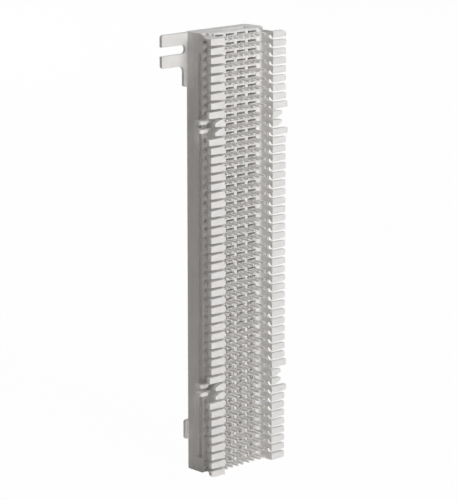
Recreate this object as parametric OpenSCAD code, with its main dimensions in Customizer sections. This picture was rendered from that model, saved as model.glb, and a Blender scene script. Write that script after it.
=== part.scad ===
// A 50 row punch down wiring block: two white mouldings that hold four columns of tinned clips.
// X runs across the columns, Y from the front to the back, Z up the rows.
// The origin is at the bottom, midway between the sides and between the front and back planes.

/* [Rows] */
// Number of rows of clips
rows = 50; // [20:1:50]
// Distance from one row to the next
row_pitch = 5.08; // [4.6:0.02:6]
// Body left above and below the rows
end_margin = 0.7; // [0.2:0.1:4]
// Number of the first row with a hinge lug, counted from either end
lug_row = 10; // [6:1:14]

/* [Body] */
// Width of the two mouldings
body_w = 47.4; // [46:0.2:54]
// Depth from the tips of the fanning strips to the back face
depth = 27.4; // [26:0.1:32]
// Depth of the front moulding at its shoulders
housing_t = 7.5; // [6.5:0.1:9]
// How far the floor of the clip field stands in front of the shoulders
field_rise = 2.3; // [0.4:0.1:3]
// Depth of the rear moulding
base_t = 6.7; // [5.5:0.1:8]
// Corner radius at the long back edges of the rear moulding
base_r = 2.6; // [0.4:0.1:3]
// Width of the recess in each end face
recess_w = 17; // [8:0.5:20]
// Distance of the recess's middle from the body's middle
recess_x = 5.5; // [0:0.5:8]
// Depth of the recess from front to back
recess_t = 4.8; // [2:0.1:5.5]
// How deep the recess goes
recess_d = 0.9; // [0.4:0.1:0.9]
// Chamfer at the front of the two end faces
end_chamfer = 0.8; // [0.2:0.1:0.8]
// Corner radius of the recess
recess_r = 1; // [0.3:0.1:1.4]

/* [Fanning strips] */
// Clear width between the two fan walls
field_w = 37.9; // [37:0.1:40]
// Radius between the floor and a fan wall
cove_r = 2.2; // [0.5:0.1:2.2]
// Thickness of a fan wall
wall_t = 1.35; // [1:0.05:3]
// Overall width across the tabs
tab_span = 58.9; // [54:0.1:64]
// Thickness of a tab
tab_t = 2.6; // [1.8:0.1:3.2]
// Height of the gap between two tabs at the wall
fan_gap = 1.25; // [1:0.05:1.8]
// Height of the gap between the tips of two tabs
tip_gap = 1.6; // [1:0.05:2.4]
// Width of the slot that leads from a gap to its wire hole
fan_slot = 1.2; // [0.6:0.05:1.4]
// Diameter of the wire hole
fan_hole_d = 2.6; // [1.6:0.1:2.8]
// Distance of the wire holes behind the front plane
fan_hole_y = 3.1; // [2.8:0.1:5]
// How far a wire hole lies above its gap
fan_rise = 1.1; // [0:0.1:1.4]
// Corner radius at the tips of the tabs
tab_r = 0.6; // [0.1:0.1:1.2]
// Corner radius of the tab at each free end of the strips
end_tab_r = 2.2; // [0.8:0.1:2.6]
// Extra reach of the long marker tabs
marker_reach = 1.4; // [0:0.1:2]
// How much shorter the tabs beside the lugs are
lug_relief = 3.2; // [1:0.1:4]
// Length of the long slant on one corner of those tabs
slant_l = 3.4; // [0.4:0.1:4]
// Height of that slant
slant_h = 1.5; // [0.4:0.1:1.8]

/* [Hinge lugs] */
// Overall width across the lugs
lug_span = 60; // [56:0.1:66]
// Height of a lug
lug_h = 2.4; // [1.6:0.1:3.2]
// How far a lug stands in front of the shoulder
lug_reach = 5.2; // [3:0.1:7]
// Width of a lug at its front
lug_w = 5.6; // [4:0.1:6]
// Depth of the foot that ties a lug to the shoulder
lug_foot = 2.6; // [1.5:0.1:3.4]
// Radius of the lug's outer front corner
lug_r = 1.6; // [0.4:0.1:2]

/* [End webs] */
// Thickness of the web that closes a channel, at the tab
web_t = 1.6; // [1:0.1:2.4]
// How far the webs end below the chamfer of the end face
web_drop = 0.2; // [0.1:0.05:0.6]

/* [Clips] */
// Distance between two columns of clips
column_pitch = 8.6; // [7.6:0.1:8.8]
// Thickness of the two folded leaves of a clip together
leaf_t = 1.3; // [1:0.05:1.6]
// Width of a clip across both tines
clip_w = 5.4; // [4:0.1:5.8]
// Width of one tine
tine_w = 1.45; // [1:0.05:2]
// Distance of the notch between the tines behind the front plane
notch_y = 10; // [6:0.1:10.8]
// Slit between the leaves that takes the wire
slit = 0.25; // [0.15:0.05:0.4]
// Distance of the slit's end behind the front plane
slit_y = 10.5; // [7:0.1:12]
// Width of the slit's mouth
mouth_h = 0.7; // [0.4:0.05:1]
// Length of the slit's mouth
mouth_l = 1.2; // [0.4:0.1:2]
// Distance of the clip tips behind the front plane
tip_setback = 1.8; // [0.1:0.1:3]
// Chamfer at the corners of a tine's tip
tip_chamfer = 0.35; // [0.1:0.05:0.5]
// Depth of the bar that joins two clips
bar_d = 2; // [1.2:0.1:3]
// Clearance above and below a clip in its slot
slot_clear = 0.25; // [0.1:0.05:0.4]
// Clearance at each side of a clip in its slot
slot_side = 0.5; // [0.2:0.05:0.6]
// Open height of the slot above a clip
slot_rise = 0.6; // [0.1:0.05:0.7]
// How far a clip lies above the middle of its row
clip_rise = 0.4; // [0:0.05:0.5]

/* [Side grooves] */
// Width of the groove in each side
groove_w = 3; // [1.5:0.1:4]
// Depth of the groove
groove_d = 2; // [0.8:0.1:3]
// Length of the slanted side behind the groove
draft_l = 3.2; // [0.5:0.1:3.4]
// How far that side slants inwards
draft_d = 0.5; // [0.1:0.1:0.7]
// Distance from the shoulder to the groove
groove_y = 1; // [0.8:0.1:1.2]
// Plain length above the groove
groove_top = 11; // [6:0.5:20]
// Plain length below the groove
groove_bottom = 9; // [6:0.5:20]
// Height of the notch at each row in the shoulders
notch_h = 2; // [1:0.1:3]
// Depth of those notches
notch_d = 1.5; // [0.4:0.1:1.8]
// Rim left outside the notches
notch_rim = 0.5; // [0.4:0.1:1.2]

/* [Mounting ears] */
// Overall width across the ears
ear_span = 86.1; // [78:0.1:96]
// Thickness of an ear
ear_t = 2.3; // [1.8:0.1:3]
// Width of the open screw slot
screw_slot = 5; // [4:0.1:6]
// Length of the screw slot
screw_slot_l = 18; // [10:0.5:18]
// Height of the prong beyond the slot
outer_prong = 6.8; // [4:0.1:9]
// Height of the prong before the slot
inner_prong = 6.9; // [4:0.1:9]
// Step from the body's end to the ear
ear_inset = 0.4; // [0:0.1:2]
// Radius between an ear and the snap leg
ear_fillet = 3.4; // [1:0.1:5]
// Corner radius at the tips of the ears
ear_r = 1.5; // [0.5:0.1:3]

/* [Snap legs] */
// How far the legs stand out of the sides
leg_out = 2.6; // [1:0.1:4]
// Distance from the body's end to the far end of the long leg
long_leg = 31; // [28:0.5:40]
// Distance from the body's end to the short leg
short_leg_start = 18.3; // [10:0.1:24]
// Length of the short leg
short_leg = 11.3; // [6:0.1:16]
// Corner radius of the legs
leg_r = 1.3; // [0.3:0.1:2]

/* [Hidden] */
$fn = 32;
eps = 0.01;

body_h = rows * row_pitch + 2 * end_margin;
front_y = -depth / 2;
back_y = depth / 2;
seam_y = back_y - base_t;
shoulder_y = seam_y - housing_t;
floor_y = shoulder_y - field_rise;
field_edge = field_w / 2;
wall_edge = field_edge + wall_t;
tab_edge = tab_span / 2;
tab_back_y = front_y + tab_t;
tab_h = row_pitch - fan_gap;
tab_tip_h = row_pitch - tip_gap;
lug_edge = lug_span / 2;
ear_edge = ear_span / 2;
notch_end = body_w / 2 - notch_rim - notch_h / 2;
ear_front_y = back_y - ear_t;
recess_front_y = (shoulder_y + seam_y - recess_t) / 2;
tip_y = front_y + tip_setback;
bar_y = seam_y - bar_d;
slot_w = clip_w + 2 * slot_side;
slot_h = leaf_t + 2 * slot_clear;
// The two clips of one contact, and the two contacts of one row.
clip_offsets = [-column_pitch / 2, column_pitch / 2];
contact_offsets = [-column_pitch, column_pitch];
// Rows, counted from the top, that have lugs, and their neighbours, whose tabs are long markers.
lug_rows = [lug_row, lug_row + 1, rows - lug_row, rows - lug_row + 1];
marker_rows = [lug_row - 1, lug_row + 2, rows - lug_row - 1, rows - lug_row + 2];

function row_name(row) = str("contact_row_", row < 10 ? "0" : "", row);
function row_z(row) = body_h - end_margin - (row - 0.5) * row_pitch;
function clip_z(row) = row_z(row) + clip_rise;
function has(list, value) = len([for (item = list) if (item == value) item]) > 0;
function tab_reach(row) = has(marker_rows, row) ? marker_reach : has(lug_rows, row) ? -lug_relief : 0;

// Stands a profile drawn in X and Z on the XZ plane, reaching from y0 to y1.
module across_y(y0, y1)
    translate([0, y1, 0]) rotate([90, 0, 0]) linear_extrude(y1 - y0) children();

// Lays a profile drawn in Y and Z on the YZ plane, reaching from x0 to x1.
module across_x(x0, x1)
    translate([x0, 0, 0]) rotate([90, 0, 90]) linear_extrude(x1 - x0) children();

// Repeats what it is given on the left as drawn and on the right turned half round the front axis.
module half_turn() {
    children();
    translate([0, 0, body_h]) rotate([0, 180, 0]) children();
}

module both_sides() {
    children();
    mirror([1, 0, 0]) children();
}

// A rectangle from corner to corner with the four corners rounded.
module rounded_box(x0, z0, x1, z1, r) {
    translate([x0 + r, z0]) square([x1 - x0 - 2 * r, z1 - z0]);
    translate([x0, z0 + r]) square([x1 - x0, z1 - z0 - 2 * r]);
    for (x = [x0 + r, x1 - r], z = [z0 + r, z1 - r]) translate([x, z]) circle(r);
}

// The slots through the floor, one for each clip, open a little above the clip.
module clip_slots()
    for (row = [1 : rows], contact = contact_offsets, clip = clip_offsets)
        translate([contact + clip - slot_w / 2, clip_z(row) - slot_h / 2]) square([slot_w, slot_h + slot_rise]);

// The pockets behind them, one for each joined pair.
module bar_pockets()
    for (row = [1 : rows], contact = contact_offsets)
        translate([contact, clip_z(row)]) square([slot_w + column_pitch, slot_h], center = true);

// The notches in the shoulders, one for each row.
module shoulder_notches()
    for (row = [1 : rows], side = [0, 1]) if (!has(lug_rows, row)) mirror([side, 0]) {
        translate([wall_edge, row_z(row) - notch_h]) square([notch_end - wall_edge, notch_h]);
        translate([notch_end, row_z(row) - notch_h / 2]) circle(d = notch_h);
    }

// What fills the corner between the floor and a fan wall, seen from above.
module cove_profile()
    difference() {
        translate([field_edge - cove_r, floor_y - cove_r]) square(cove_r + eps);
        translate([field_edge - cove_r, floor_y - cove_r]) circle(cove_r);
    }

// One fan wall from the side: a slanted slot enters at each gap and ends in a wire hole.
module fan_wall_profile() {
    slope = fan_rise / fan_hole_y;
    difference() {
        translate([front_y, end_margin + fan_gap / 2])
            square([shoulder_y - front_y + eps, rows * row_pitch - fan_gap]);
        for (gap = [1 : rows - 1]) translate([front_y, end_margin + gap * row_pitch]) {
            translate([fan_hole_y, fan_rise]) circle(d = fan_hole_d);
            polygon([[-1, -slope - fan_slot / 2], [fan_hole_y, fan_rise - fan_slot / 2],
                     [fan_hole_y, fan_rise + fan_slot / 2], [-1, -slope + fan_slot / 2]]);
        }
    }
}

// One right hand tab from the front: it narrows towards a round tip, and slants away beside a lug.
module tab_profile(row) {
    edge = tab_edge + tab_reach(row);
    root = wall_edge - eps;
    translate([0, row_z(row)]) {
        if (has(lug_rows, row)) {
            polygon([[root, -tab_h / 2], [edge - slant_l, -tab_tip_h / 2], [edge, slant_h - tab_tip_h / 2],
                     [edge, tab_tip_h / 2 - tab_r / 2], [edge - tab_r / 2, tab_tip_h / 2], [root, tab_h / 2]]);
        } else {
            polygon([[root, -tab_h / 2], [edge - tab_r, -tab_tip_h / 2], [edge - tab_r, tab_tip_h / 2],
                     [root, tab_h / 2]]);
            translate([edge - tab_r - eps, -tab_tip_h / 2 + tab_r]) square([tab_r + eps, tab_tip_h - 2 * tab_r]);
            for (z = [-1, 1]) translate([edge - tab_r, z * (tab_tip_h / 2 - tab_r)]) circle(tab_r);
        }
    }
}

// What is cut from the bottom left tab to round its outer corner.
module end_tab_corner() {
    bottom = row_z(rows) - tab_tip_h / 2;
    difference() {
        translate([-tab_edge - 1, bottom - 1]) square(end_tab_r + 1);
        translate([-tab_edge + end_tab_r, bottom + end_tab_r]) circle(end_tab_r);
    }
}

// A lug from above: its foot is tied to the shoulder, and it reaches past the tabs.
module lug_profile() {
    lug_y = shoulder_y - lug_reach;
    translate([lug_edge - lug_w, lug_y + lug_r]) square([lug_w, lug_reach - lug_r]);
    translate([lug_edge - lug_w, lug_y]) square([lug_w - lug_r, lug_reach]);
    translate([wall_edge - eps, shoulder_y - lug_foot])
        square([body_w / 2 - wall_edge + eps, lug_foot + eps]);
    translate([body_w / 2 - eps, shoulder_y - lug_foot]) square([lug_edge - lug_w - body_w / 2 + 1, lug_foot]);
    translate([lug_edge - lug_r, lug_y + lug_r]) circle(lug_r);
}

// The web that closes the top left channel, seen from above.
module web_profile()
    polygon([[-wall_edge + eps, front_y], [-tab_edge, front_y], [-tab_edge, tab_back_y],
             [-body_w / 2, shoulder_y], [-body_w / 2, shoulder_y + eps], [-wall_edge + eps, shoulder_y + eps]]);

// The same web from the side: it rises from the top of the tab to the body's end face.
module web_side_profile()
    polygon([[front_y, body_h - web_t - row_pitch], [front_y, row_z(1) + tab_h / 2],
             [tab_back_y, row_z(1) + tab_h / 2], [shoulder_y + eps, body_h - end_chamfer - web_drop],
             [shoulder_y + eps, body_h - web_t - row_pitch]]);

// What is cut from the top front edge of the face that stands at y.
module end_chamfer_profile(y, reach)
    polygon([[y - reach, body_h - end_chamfer - reach], [y + end_chamfer + 1, body_h + 1], [y - reach, body_h + 1]]);

// The groove in the right side from above, with the slanted side behind it.
module groove_profile() {
    front = shoulder_y + groove_y;
    back = front + groove_w;
    polygon([[body_w / 2 + 1, front], [body_w / 2 - groove_d, front], [body_w / 2 - groove_d, back],
             [body_w / 2 - draft_d, back], [body_w / 2, back + draft_l], [body_w / 2 + 1, back + draft_l]]);
}

module front_housing() color([0.9, 0.9, 0.89]) {
    difference() {
        union() {
            // Floor with its clip slots, in front, and the bar pockets behind them
            across_y(floor_y, bar_y) difference() {
                translate([-wall_edge, 0]) square([2 * wall_edge, body_h]);
                clip_slots();
            }
            both_sides() translate([wall_edge - eps, shoulder_y, 0])
                cube([body_w / 2 - wall_edge + eps, bar_y - shoulder_y, body_h]);
            across_y(bar_y - eps, seam_y) difference() {
                translate([-body_w / 2, 0]) square([body_w, body_h]);
                bar_pockets();
            }
            both_sides() {
                across_x(field_edge, wall_edge) fan_wall_profile();
                for (row = lug_rows) translate([0, 0, row_z(row) - lug_h / 2]) linear_extrude(lug_h) lug_profile();
                linear_extrude(body_h) cove_profile();
            }
            half_turn() across_y(front_y, tab_back_y) for (row = [1 : rows]) tab_profile(row);
            half_turn() intersection() {
                translate([0, 0, row_z(1) + tab_h / 2 - web_t]) linear_extrude(body_h) web_profile();
                across_x(-tab_edge - 1, 0) web_side_profile();
            }
        }
        half_turn() across_y(front_y - 1, tab_back_y + eps) end_tab_corner();
        half_turn() translate([0, 0, body_h - recess_d]) linear_extrude(recess_d + 1)
            rounded_box(recess_x - recess_w / 2, recess_front_y, recess_x + recess_w / 2,
                        recess_front_y + recess_t, recess_r);
        half_turn() {
            across_x(-wall_edge, wall_edge) end_chamfer_profile(floor_y, 1);
            both_sides() across_x(wall_edge, body_w / 2 + 1) end_chamfer_profile(shoulder_y, web_drop / 2);
        }
        // Grooves along both sides, and the notches in the shoulders
        both_sides() translate([0, 0, groove_bottom])
            linear_extrude(body_h - groove_bottom - groove_top) groove_profile();
        across_y(shoulder_y - eps, shoulder_y + notch_d) shoulder_notches();
    }
}

// The ear and long leg at the top left, seen from the front.
module ear_profile() {
    top = body_h - ear_inset;
    bottom = top - outer_prong - screw_slot - inner_prong;
    slot_z = top - outer_prong - screw_slot / 2;
    leg_edge = body_w / 2 + leg_out;
    root = -body_w / 2 + base_r;
    difference() {
        translate([-ear_edge, bottom]) square([ear_edge + root, top - bottom]);
        translate([-ear_edge + screw_slot_l - screw_slot / 2, slot_z]) circle(d = screw_slot);
        translate([-ear_edge - 1, slot_z - screw_slot / 2])
            square([screw_slot_l - screw_slot / 2 + 1, screw_slot]);
        // Round outer corners of the two prongs
        for (side = [-1, 1]) translate([-ear_edge, (top + bottom) / 2]) difference() {
            translate([-1, side * ((top - bottom) / 2 - ear_r / 2 + 0.5) - (ear_r + 1) / 2]) square(ear_r + 1);
            translate([ear_r, side * ((top - bottom) / 2 - ear_r)]) circle(ear_r);
        }
    }
    translate([-leg_edge, body_h - long_leg + leg_r])
        square([leg_edge + root, long_leg - leg_r - (body_h - bottom) + eps]);
    translate([-leg_edge + leg_r, body_h - long_leg]) square([leg_edge - leg_r + root, leg_r + eps]);
    translate([-leg_edge + leg_r, body_h - long_leg + leg_r]) circle(leg_r);
    difference() {
        translate([-leg_edge - ear_fillet, bottom - ear_fillet]) square([ear_fillet + eps, ear_fillet + eps]);
        translate([-leg_edge - ear_fillet, bottom - ear_fillet]) circle(ear_fillet);
    }
}

// The short leg at the bottom left, seen from the front.
module short_leg_profile()
    rounded_box(-body_w / 2 - leg_out, short_leg_start, -body_w / 2 + base_r + leg_r,
                short_leg_start + short_leg, leg_r);

// The rear moulding from above, with rounded back edges.
module base_section() {
    translate([-body_w / 2, seam_y]) square([body_w, base_t - base_r]);
    translate([-body_w / 2 + base_r, seam_y]) square([body_w - 2 * base_r, base_t]);
    for (side = [-1, 1]) translate([side * (body_w / 2 - base_r), back_y - base_r]) circle(base_r);
}

module rear_base() color([0.86, 0.86, 0.85]) {
    linear_extrude(body_h) base_section();
    half_turn() across_y(ear_front_y, back_y) {
        ear_profile();
        short_leg_profile();
    }
}

// One joined pair of clips from above: each clip ends in two tines, and a bar joins the feet.
module contact_plate() {
    translate([-(column_pitch + clip_w) / 2, bar_y]) square([column_pitch + clip_w, bar_d]);
    for (x = clip_offsets) translate([x, 0]) {
        translate([-clip_w / 2, front_y + notch_y]) square([clip_w, bar_y - front_y - notch_y + eps]);
        both_sides() polygon([[clip_w / 2 - tine_w, front_y + notch_y + eps], [clip_w / 2, front_y + notch_y + eps],
            [clip_w / 2, tip_y + tip_chamfer], [clip_w / 2 - tip_chamfer, tip_y],
            [clip_w / 2 - tine_w + tip_chamfer, tip_y], [clip_w / 2 - tine_w, tip_y + tip_chamfer]]);
    }
}

// The slit between the two leaves from the side, with its wide mouth.
module slit_profile()
    polygon([[tip_y - 1, -mouth_h / 2], [tip_y, -mouth_h / 2], [tip_y + mouth_l, -slit / 2],
             [front_y + slit_y, -slit / 2], [front_y + slit_y, slit / 2], [tip_y + mouth_l, slit / 2],
             [tip_y, mouth_h / 2], [tip_y - 1, mouth_h / 2]]);

module contact()
    difference() {
        translate([0, 0, -leaf_t / 2]) linear_extrude(leaf_t) contact_plate();
        across_x(-column_pitch, column_pitch) slit_profile();
    }

module contact_row(row) color([0.72, 0.72, 0.7])
    for (x = contact_offsets) translate([x, 0, clip_z(row)]) contact();

front_housing();
rear_base();
for (row = [1 : rows]) contact_row(row);
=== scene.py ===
import math

import bmesh
import bpy
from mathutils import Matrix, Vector


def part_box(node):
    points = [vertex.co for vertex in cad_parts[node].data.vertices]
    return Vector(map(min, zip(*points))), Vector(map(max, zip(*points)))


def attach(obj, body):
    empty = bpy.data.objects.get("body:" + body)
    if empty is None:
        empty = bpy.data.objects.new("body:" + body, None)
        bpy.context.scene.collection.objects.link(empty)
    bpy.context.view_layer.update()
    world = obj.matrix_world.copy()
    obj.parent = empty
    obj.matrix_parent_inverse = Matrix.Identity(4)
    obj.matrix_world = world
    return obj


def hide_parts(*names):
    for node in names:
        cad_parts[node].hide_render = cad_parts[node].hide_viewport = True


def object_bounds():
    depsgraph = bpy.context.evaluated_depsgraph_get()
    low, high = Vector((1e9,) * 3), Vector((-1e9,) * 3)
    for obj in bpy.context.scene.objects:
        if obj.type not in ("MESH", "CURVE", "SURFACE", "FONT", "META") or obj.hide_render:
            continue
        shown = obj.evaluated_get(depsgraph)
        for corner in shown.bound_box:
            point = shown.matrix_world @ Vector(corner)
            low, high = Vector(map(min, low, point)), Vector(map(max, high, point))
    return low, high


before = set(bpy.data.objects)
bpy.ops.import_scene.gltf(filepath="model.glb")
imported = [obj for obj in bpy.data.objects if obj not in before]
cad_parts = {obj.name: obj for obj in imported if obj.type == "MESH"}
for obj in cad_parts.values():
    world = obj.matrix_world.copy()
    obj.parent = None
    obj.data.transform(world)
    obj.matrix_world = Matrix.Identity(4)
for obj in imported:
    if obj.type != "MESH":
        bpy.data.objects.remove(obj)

scene = bpy.context.scene
cad_low, cad_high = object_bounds()


# ---- Where the block stands ----
# The block stands upright on its lower end, on a plain pale floor.
# It is seen from its left front and a little above, through a long lens.

mid_height = (cad_low[2] + cad_high[2]) / 2
front_plane = cad_low[1]

camera_left = 0.933
camera_ahead = 0.95
camera_rise = 0.308
camera_data = bpy.data.cameras.new("camera")
camera_data.sensor_width = 36
camera_data.lens = 172.8
camera_data.clip_end = 20
camera = bpy.data.objects.new("camera", camera_data)
scene.collection.objects.link(camera)
camera.location = (-camera_left, front_plane - camera_ahead, mid_height + camera_rise)
camera_turn = math.radians(43.983)
camera_drop = math.radians(12.9)
looking = Vector((math.sin(camera_turn) * math.cos(camera_drop),
                  math.cos(camera_turn) * math.cos(camera_drop),
                  -math.sin(camera_drop)))
camera.rotation_euler = looking.to_track_quat("-Z", "Y").to_euler()
scene.camera = camera

floor_reach = 6
floor_mesh = bpy.data.meshes.new("floor")
floor_mesh.from_pydata([(-floor_reach, -floor_reach, 0), (floor_reach, -floor_reach, 0),
                        (floor_reach, floor_reach, 0), (-floor_reach, floor_reach, 0)],
                       [], [(0, 1, 2, 3)])
floor = bpy.data.objects.new("floor", floor_mesh)
scene.collection.objects.link(floor)


def seen_mask(nodes, links):
    """A mask that is 1 where the camera looks, straight or by way of a gloss, and 0 for other light."""
    ray = nodes.new("ShaderNodeLightPath")
    seen = nodes.new("ShaderNodeMath")
    seen.operation = "MAXIMUM"
    links.new(ray.outputs["Is Camera Ray"], seen.inputs[0])
    links.new(ray.outputs["Is Glossy Ray"], seen.inputs[1])
    return seen.outputs[0]


# The floor looks almost white to the camera, and lights the block as a pale matte board.
white_share = 0.98
floor_paint = bpy.data.materials.new("pale_floor")
floor_paint.use_nodes = True
nodes, links = floor_paint.node_tree.nodes, floor_paint.node_tree.links
matte = nodes["Principled BSDF"]
matte.inputs["Base Color"].default_value = (0.9, 0.865, 0.83, 1)
matte.inputs["Roughness"].default_value = 0.9
white_glow = nodes.new("ShaderNodeEmission")
share = nodes.new("ShaderNodeMath")
share.operation = "MULTIPLY"
share.inputs[1].default_value = white_share
blend = nodes.new("ShaderNodeMixShader")
links.new(seen_mask(nodes, links), share.inputs[0])
links.new(share.outputs[0], blend.inputs[0])
links.new(matte.outputs[0], blend.inputs[1])
links.new(white_glow.outputs[0], blend.inputs[2])
links.new(blend.outputs[0], nodes["Material Output"].inputs["Surface"])
floor_mesh.materials.append(floor_paint)

# The room is white behind the block, and gives it only a weak warm light.
world = bpy.data.worlds.new("studio")
world.use_nodes = True
scene.world = world
nodes, links = world.node_tree.nodes, world.node_tree.links
room = nodes["Background"]
room.inputs["Color"].default_value = (1, 0.93, 0.86, 1)
room.inputs["Strength"].default_value = 0.05
backdrop = nodes.new("ShaderNodeBackground")
backdrop.inputs["Color"].default_value = (1, 1, 1, 1)
blend = nodes.new("ShaderNodeMixShader")
links.new(seen_mask(nodes, links), blend.inputs[0])
links.new(room.outputs[0], blend.inputs[1])
links.new(backdrop.outputs[0], blend.inputs[2])
links.new(blend.outputs[0], nodes["World Output"].inputs["Surface"])


def soft_box(name, place, size, watts):
    """A square lamp that faces the middle of the block."""
    lamp = bpy.data.lights.new(name, "AREA")
    lamp.size = size
    lamp.energy = watts
    lit = bpy.data.objects.new(name, lamp)
    scene.collection.objects.link(lit)
    lit.location = place
    lit.rotation_euler = (Vector((0, 0, mid_height)) - lit.location).to_track_quat("-Z", "Y").to_euler()


soft_box("key_light", (-0.3, -2.1, 0.75), size=0.8, watts=31)
soft_box("top_light", (0.2, -0.3, 2.2), size=1.0, watts=7)
soft_box("back_light", (0.7, 2.1, 0.8), size=1.0, watts=17)

scene.view_settings.view_transform = "Standard"


def paint_nodes(names, paint):
    """Gives the solids that a piece stands for the material of that piece."""
    for name in names:
        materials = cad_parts[name].data.materials
        materials.clear()
        materials.append(paint)


# ---- Front moulding ----
# The front half of the block: floor, fan walls, tabs, lugs and end webs in one piece.
# It is injection moulded in a white flame retardant plastic, with a fine eroded grain.

def plastic_grain_group():
    """Colour, roughness and height of a moulded surface: fine grain over slow flow marks."""
    group = bpy.data.node_groups.new("plastic_grain", "ShaderNodeTree")
    face = group.interface
    for name, kind, value in (("Colour", "NodeSocketColor", (0.8, 0.8, 0.8, 1)),
                              ("Shade Colour", "NodeSocketColor", (0.7, 0.7, 0.7, 1)),
                              ("Grain Size", "NodeSocketFloat", 0.0004),
                              ("Roughness", "NodeSocketFloat", 0.45)):
        socket = face.new_socket(name, in_out="INPUT", socket_type=kind)
        socket.default_value = value
    for name, kind in (("Colour", "NodeSocketColor"), ("Roughness", "NodeSocketFloat"),
                       ("Height", "NodeSocketFloat")):
        face.new_socket(name, in_out="OUTPUT", socket_type=kind)
    nodes, links = group.nodes, group.links
    given, result = nodes.new("NodeGroupInput"), nodes.new("NodeGroupOutput")
    place = nodes.new("ShaderNodeTexCoord").outputs["Object"]

    per_metre = nodes.new("ShaderNodeMath")
    per_metre.operation = "DIVIDE"
    per_metre.inputs[0].default_value = 1
    links.new(given.outputs["Grain Size"], per_metre.inputs[1])
    grain = nodes.new("ShaderNodeTexNoise")
    grain.inputs["Detail"].default_value = 2
    links.new(place, grain.inputs["Vector"])
    links.new(per_metre.outputs[0], grain.inputs["Scale"])

    flow = nodes.new("ShaderNodeTexNoise")
    flow.inputs["Scale"].default_value = 90
    flow.inputs["Detail"].default_value = 3
    flow.inputs["Distortion"].default_value = 0.6
    links.new(place, flow.inputs["Vector"])
    band = nodes.new("ShaderNodeMapRange")
    band.inputs["From Min"].default_value = 0.35
    band.inputs["From Max"].default_value = 0.7
    links.new(flow.outputs["Fac"], band.inputs["Value"])
    tint = nodes.new("ShaderNodeMix")
    tint.data_type = "RGBA"
    links.new(band.outputs[0], tint.inputs["Factor"])
    links.new(given.outputs["Colour"], tint.inputs["A"])
    links.new(given.outputs["Shade Colour"], tint.inputs["B"])
    links.new(tint.outputs["Result"], result.inputs["Colour"])

    spread = nodes.new("ShaderNodeMath")
    spread.operation = "MULTIPLY_ADD"
    spread.inputs[1].default_value = 0.12
    links.new(grain.outputs["Fac"], spread.inputs[0])
    links.new(given.outputs["Roughness"], spread.inputs[2])
    links.new(spread.outputs[0], result.inputs["Roughness"])
    links.new(grain.outputs["Fac"], result.inputs["Height"])
    return group


plastic_grain = plastic_grain_group()


def moulded_plastic(name, colour, shade, roughness):
    """White moulded plastic that lets a little light pass into it."""
    paint = bpy.data.materials.new(name)
    paint.use_nodes = True
    nodes, links = paint.node_tree.nodes, paint.node_tree.links
    surface = nodes["Principled BSDF"]
    surface.inputs["Subsurface Weight"].default_value = 0.12
    surface.inputs["Subsurface Radius"].default_value = (1, 0.8, 0.65)
    surface.inputs["Subsurface Scale"].default_value = 0.0015
    grain = nodes.new("ShaderNodeGroup")
    grain.node_tree = plastic_grain
    grain.inputs["Colour"].default_value = (*colour, 1)
    grain.inputs["Shade Colour"].default_value = (*shade, 1)
    grain.inputs["Roughness"].default_value = roughness
    bump = nodes.new("ShaderNodeBump")
    bump.inputs["Strength"].default_value = 0.25
    bump.inputs["Distance"].default_value = 0.00005
    links.new(grain.outputs["Colour"], surface.inputs["Base Color"])
    links.new(grain.outputs["Roughness"], surface.inputs["Roughness"])
    links.new(grain.outputs["Height"], bump.inputs["Height"])
    links.new(bump.outputs[0], surface.inputs["Normal"])
    return paint


def softened_copy(node, name, radius, segments, shortest=0.0, stays_sharp=None):
    """A copy of a node's mesh with its flat faces whole again and a small radius on its edges.

    Edges beside one that is under the shortest length stay sharp, and so do those with
    an end where stays_sharp says so.
    """
    same_place = 2e-6
    flat_angle = math.radians(1)
    corner_angle = math.radians(35)
    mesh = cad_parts[node].data.copy()
    mesh.materials.clear()
    work = bmesh.new()
    work.from_mesh(mesh)
    bmesh.ops.remove_doubles(work, verts=work.verts, dist=same_place)
    bmesh.ops.dissolve_limit(work, angle_limit=flat_angle, verts=work.verts, edges=work.edges)
    softness = work.edges.layers.float.new("bevel_weight_edge")
    for edge in work.edges:
        if len(edge.link_faces) != 2 or edge.calc_face_angle(0) < corner_angle:
            continue
        near = {side for corner in edge.verts for side in corner.link_edges}
        if min(side.calc_length() for side in near) < shortest:
            continue
        if stays_sharp and any(stays_sharp(corner.co) for corner in edge.verts):
            continue
        edge[softness] = 1
    work.to_mesh(mesh)
    work.free()
    piece = bpy.data.objects.new(name, mesh)
    scene.collection.objects.link(piece)
    bevel = piece.modifiers.new("edge_radius", "BEVEL")
    bevel.width = radius
    bevel.segments = segments
    bevel.limit_method = "WEIGHT"
    bevel.use_clamp_overlap = False
    bevel.loop_slide = False
    bevel.harden_normals = True
    bevelled = piece.evaluated_get(bpy.context.evaluated_depsgraph_get())
    finished = bpy.data.meshes.new_from_object(bevelled)
    piece.modifiers.clear()
    piece.data = finished
    finished.name = name
    return piece


white_plastic = moulded_plastic("white_plastic", colour=(0.83, 0.827, 0.822),
                                shade=(0.79, 0.781, 0.772), roughness=0.42)

# The webs' roots stay sharp, because the faces there are too narrow for a radius.
housing_edge_radius = 0.0002
housing_shortest_edge = 0.00008
fan_wall_inside = 0.01895
web_root_reach = 0.0004
web_height = 0.003


def at_web_root(place):
    """Where the webs at the two ends run into the fan walls."""
    near_end = min(place.z - cad_low[2], cad_high[2] - place.z) < web_height
    return near_end and abs(abs(place.x) - fan_wall_inside) < web_root_reach


housing = softened_copy("front_housing", "housing_front", housing_edge_radius, segments=2,
                        shortest=housing_shortest_edge, stays_sharp=at_web_root)
housing.data.materials.append(white_plastic)
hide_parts("front_housing")
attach(housing, "root")
paint_nodes(["front_housing"], white_plastic)


# ---- Rear moulding ----
# The rear half closes the contact pockets and carries the two screw ears and the snap legs.
# It is the same white plastic in a second mould, welded to the front half.

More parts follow.
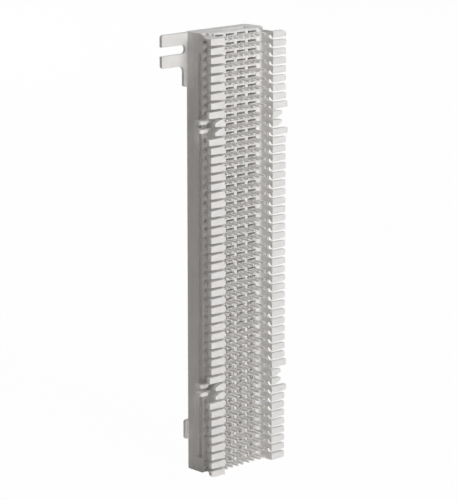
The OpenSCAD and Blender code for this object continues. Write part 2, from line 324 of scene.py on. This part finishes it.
base_plastic = moulded_plastic("base_plastic", colour=(0.82, 0.816, 0.81),
                               shade=(0.78, 0.771, 0.761), roughness=0.46)

# Where an ear or a leg leaves a rounded back corner, the edges stay sharp.
base_edge_radius = 0.0004
base_shortest_edge = 0.00015
back_plane = cad_high[1]
back_reach = 0.0002
corner_inside = 0.0208
corner_outside = 0.0225


def at_rounded_corner(place):
    """Where the ears and legs leave the rounded back corners of the body."""
    on_back = place.y > back_plane - back_reach
    return on_back and corner_inside < abs(place.x) < corner_outside


base = softened_copy("rear_base", "housing_rear", base_edge_radius, segments=3,
                     shortest=base_shortest_edge, stays_sharp=at_rounded_corner)
base.data.materials.append(base_plastic)
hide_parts("rear_base")
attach(base, "root")
paint_nodes(["rear_base"], base_plastic)


# ---- Clips ----
# Each stamping is two clips joined by a bar behind the floor, and two stampings make a row.
# They are cut from tin plated strip and pushed in from behind, so they stand a little unevenly.

def tin_plate(name):
    """Dull tin plating, with fine streaks along the drawing of the strip."""
    paint = bpy.data.materials.new(name)
    paint.use_nodes = True
    nodes, links = paint.node_tree.nodes, paint.node_tree.links
    surface = nodes["Principled BSDF"]
    surface.inputs["Metallic"].default_value = 0.65
    place = nodes.new("ShaderNodeTexCoord").outputs["Object"]
    streaks = nodes.new("ShaderNodeMapping")
    streaks.inputs["Scale"].default_value = (1, 0.15, 1)
    links.new(place, streaks.inputs["Vector"])
    drawn = nodes.new("ShaderNodeTexNoise")
    drawn.inputs["Scale"].default_value = 2200
    drawn.inputs["Detail"].default_value = 3
    links.new(streaks.outputs[0], drawn.inputs["Vector"])
    colour = nodes.new("ShaderNodeValToRGB")
    colour.color_ramp.elements[0].position = 0.3
    colour.color_ramp.elements[0].color = (0.84, 0.83, 0.82, 1)
    colour.color_ramp.elements[1].position = 0.7
    colour.color_ramp.elements[1].color = (0.94, 0.93, 0.92, 1)
    links.new(drawn.outputs["Fac"], colour.inputs["Fac"])
    links.new(colour.outputs[0], surface.inputs["Base Color"])
    gloss = nodes.new("ShaderNodeMapRange")
    gloss.inputs["To Min"].default_value = 0.26
    gloss.inputs["To Max"].default_value = 0.42
    links.new(drawn.outputs["Fac"], gloss.inputs["Value"])
    links.new(gloss.outputs[0], surface.inputs["Roughness"])
    bump = nodes.new("ShaderNodeBump")
    bump.inputs["Strength"].default_value = 0.2
    bump.inputs["Distance"].default_value = 0.00002
    links.new(drawn.outputs["Fac"], bump.inputs["Height"])
    links.new(bump.outputs[0], surface.inputs["Normal"])
    return paint


def clip_rows_tree():
    """Sets one joined pair of clips at every place in the field, each a little out of true."""
    tree = bpy.data.node_groups.new("clip_rows", "GeometryNodeTree")
    face = tree.interface
    face.new_socket("Geometry", in_out="OUTPUT", socket_type="NodeSocketGeometry")
    for name, kind, value in (("Pair", "NodeSocketObject", None),
                              ("Rows", "NodeSocketInt", 2),
                              ("Row Pitch", "NodeSocketFloat", 0.005),
                              ("Pair Spacing", "NodeSocketFloat", 0.017),
                              ("Middle", "NodeSocketVector", None),
                              ("Tilt", "NodeSocketFloat", 0.0),
                              ("Stroke", "NodeSocketFloat", 0.0),
                              ("Seed", "NodeSocketInt", 7),
                              ("Plating", "NodeSocketMaterial", None)):
        socket = face.new_socket(name, in_out="INPUT", socket_type=kind)
        if value is not None:
            socket.default_value = value
    nodes, links = tree.nodes, tree.links
    given, result = nodes.new("NodeGroupInput"), nodes.new("NodeGroupOutput")

    gaps = nodes.new("ShaderNodeMath")
    gaps.operation = "SUBTRACT"
    gaps.inputs[1].default_value = 1
    links.new(given.outputs["Rows"], gaps.inputs[0])
    length = nodes.new("ShaderNodeMath")
    length.operation = "MULTIPLY"
    links.new(gaps.outputs[0], length.inputs[0])
    links.new(given.outputs["Row Pitch"], length.inputs[1])
    places = nodes.new("GeometryNodeMeshGrid")
    places.inputs["Vertices X"].default_value = 2
    links.new(given.outputs["Pair Spacing"], places.inputs["Size X"])
    links.new(length.outputs[0], places.inputs["Size Y"])
    links.new(given.outputs["Rows"], places.inputs["Vertices Y"])
    upright = nodes.new("GeometryNodeTransform")
    upright.inputs["Rotation"].default_value = (math.pi / 2, 0, 0)
    links.new(places.outputs["Mesh"], upright.inputs["Geometry"])
    links.new(given.outputs["Middle"], upright.inputs["Translation"])

    def scatter(reach_socket, axes, seed_step):
        """A random vector for each place, at most as long as the named reach along each axis."""
        back = nodes.new("ShaderNodeVectorMath")
        back.operation = "SCALE"
        back.inputs[0].default_value = tuple(-v for v in axes)
        links.new(given.outputs[reach_socket], back.inputs["Scale"])
        forth = nodes.new("ShaderNodeVectorMath")
        forth.operation = "SCALE"
        forth.inputs[0].default_value = axes
        links.new(given.outputs[reach_socket], forth.inputs["Scale"])
        seed = nodes.new("ShaderNodeMath")
        seed.inputs[1].default_value = seed_step
        links.new(given.outputs["Seed"], seed.inputs[0])
        chance = nodes.new("FunctionNodeRandomValue")
        chance.data_type = "FLOAT_VECTOR"
        links.new(back.outputs[0], chance.inputs["Min"])
        links.new(forth.outputs[0], chance.inputs["Max"])
        links.new(seed.outputs[0], chance.inputs["Seed"])
        return chance.outputs[0]

    shift = nodes.new("GeometryNodeSetPosition")
    links.new(upright.outputs[0], shift.inputs["Geometry"])
    links.new(scatter("Stroke", axes=(0, 1, 0), seed_step=1), shift.inputs["Offset"])
    pair = nodes.new("GeometryNodeObjectInfo")
    links.new(given.outputs["Pair"], pair.inputs["Object"])
    stand = nodes.new("GeometryNodeInstanceOnPoints")
    links.new(shift.outputs[0], stand.inputs["Points"])
    links.new(pair.outputs["Geometry"], stand.inputs["Instance"])
    links.new(scatter("Tilt", axes=(1, 0.3, 0.6), seed_step=2), stand.inputs["Rotation"])
    whole = nodes.new("GeometryNodeRealizeInstances")
    links.new(stand.outputs[0], whole.inputs["Geometry"])
    plate = nodes.new("GeometryNodeSetMaterial")
    links.new(whole.outputs[0], plate.inputs["Geometry"])
    links.new(given.outputs["Plating"], plate.inputs["Material"])
    links.new(plate.outputs[0], result.inputs["Geometry"])
    return tree


tin = tin_plate("tin_plate")
row_names = sorted(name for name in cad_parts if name.startswith("contact_row"))
top_low, top_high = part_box(row_names[0])
end_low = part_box(row_names[-1])[0]
row_count = len(row_names)
row_pitch = (top_low[2] - end_low[2]) / (row_count - 1)
bar_depth = 0.002
clip_edge_radius = 0.00006
largest_tilt = math.radians(0.5)
largest_stroke = 0.00012

# One pair, cut out of the top row and centred where its bar sits in the moulding.
pair = softened_copy(row_names[0], "clip_pair", clip_edge_radius, segments=1)
work = bmesh.new()
work.from_mesh(pair.data)
bmesh.ops.delete(work, geom=[v for v in work.verts if v.co.x < 0], context="VERTS")
across = [v.co.x for v in work.verts]
pair_middle = (min(across) + max(across)) / 2
bar_middle = top_high[1] - bar_depth / 2
row_middle = (top_low[2] + top_high[2]) / 2
bmesh.ops.translate(work, verts=work.verts, vec=(-pair_middle, -bar_middle, -row_middle))
work.to_mesh(pair.data)
work.free()

clips = bpy.data.objects.new("clip_field", bpy.data.meshes.new("clip_field"))
scene.collection.objects.link(clips)
rows_made = clips.modifiers.new("clip_rows", "NODES")
rows_made.node_group = clip_rows_tree()
field_middle = (0, bar_middle, row_middle - row_pitch * (row_count - 1) / 2)
settings = {"Pair": pair, "Rows": row_count, "Row Pitch": row_pitch,
            "Pair Spacing": 2 * pair_middle, "Middle": field_middle,
            "Tilt": largest_tilt, "Stroke": largest_stroke, "Seed": 7, "Plating": tin}
for socket in rows_made.node_group.interface.items_tree:
    if socket.in_out == "INPUT":
        rows_made[socket.identifier] = settings[socket.name]
made = clips.evaluated_get(bpy.context.evaluated_depsgraph_get())
field = bpy.data.meshes.new_from_object(made)
clips.modifiers.clear()
clips.data = field
field.name = "clip_field"
bpy.data.objects.remove(pair)
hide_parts(*row_names)
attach(clips, "root")
paint_nodes(row_names, tin)
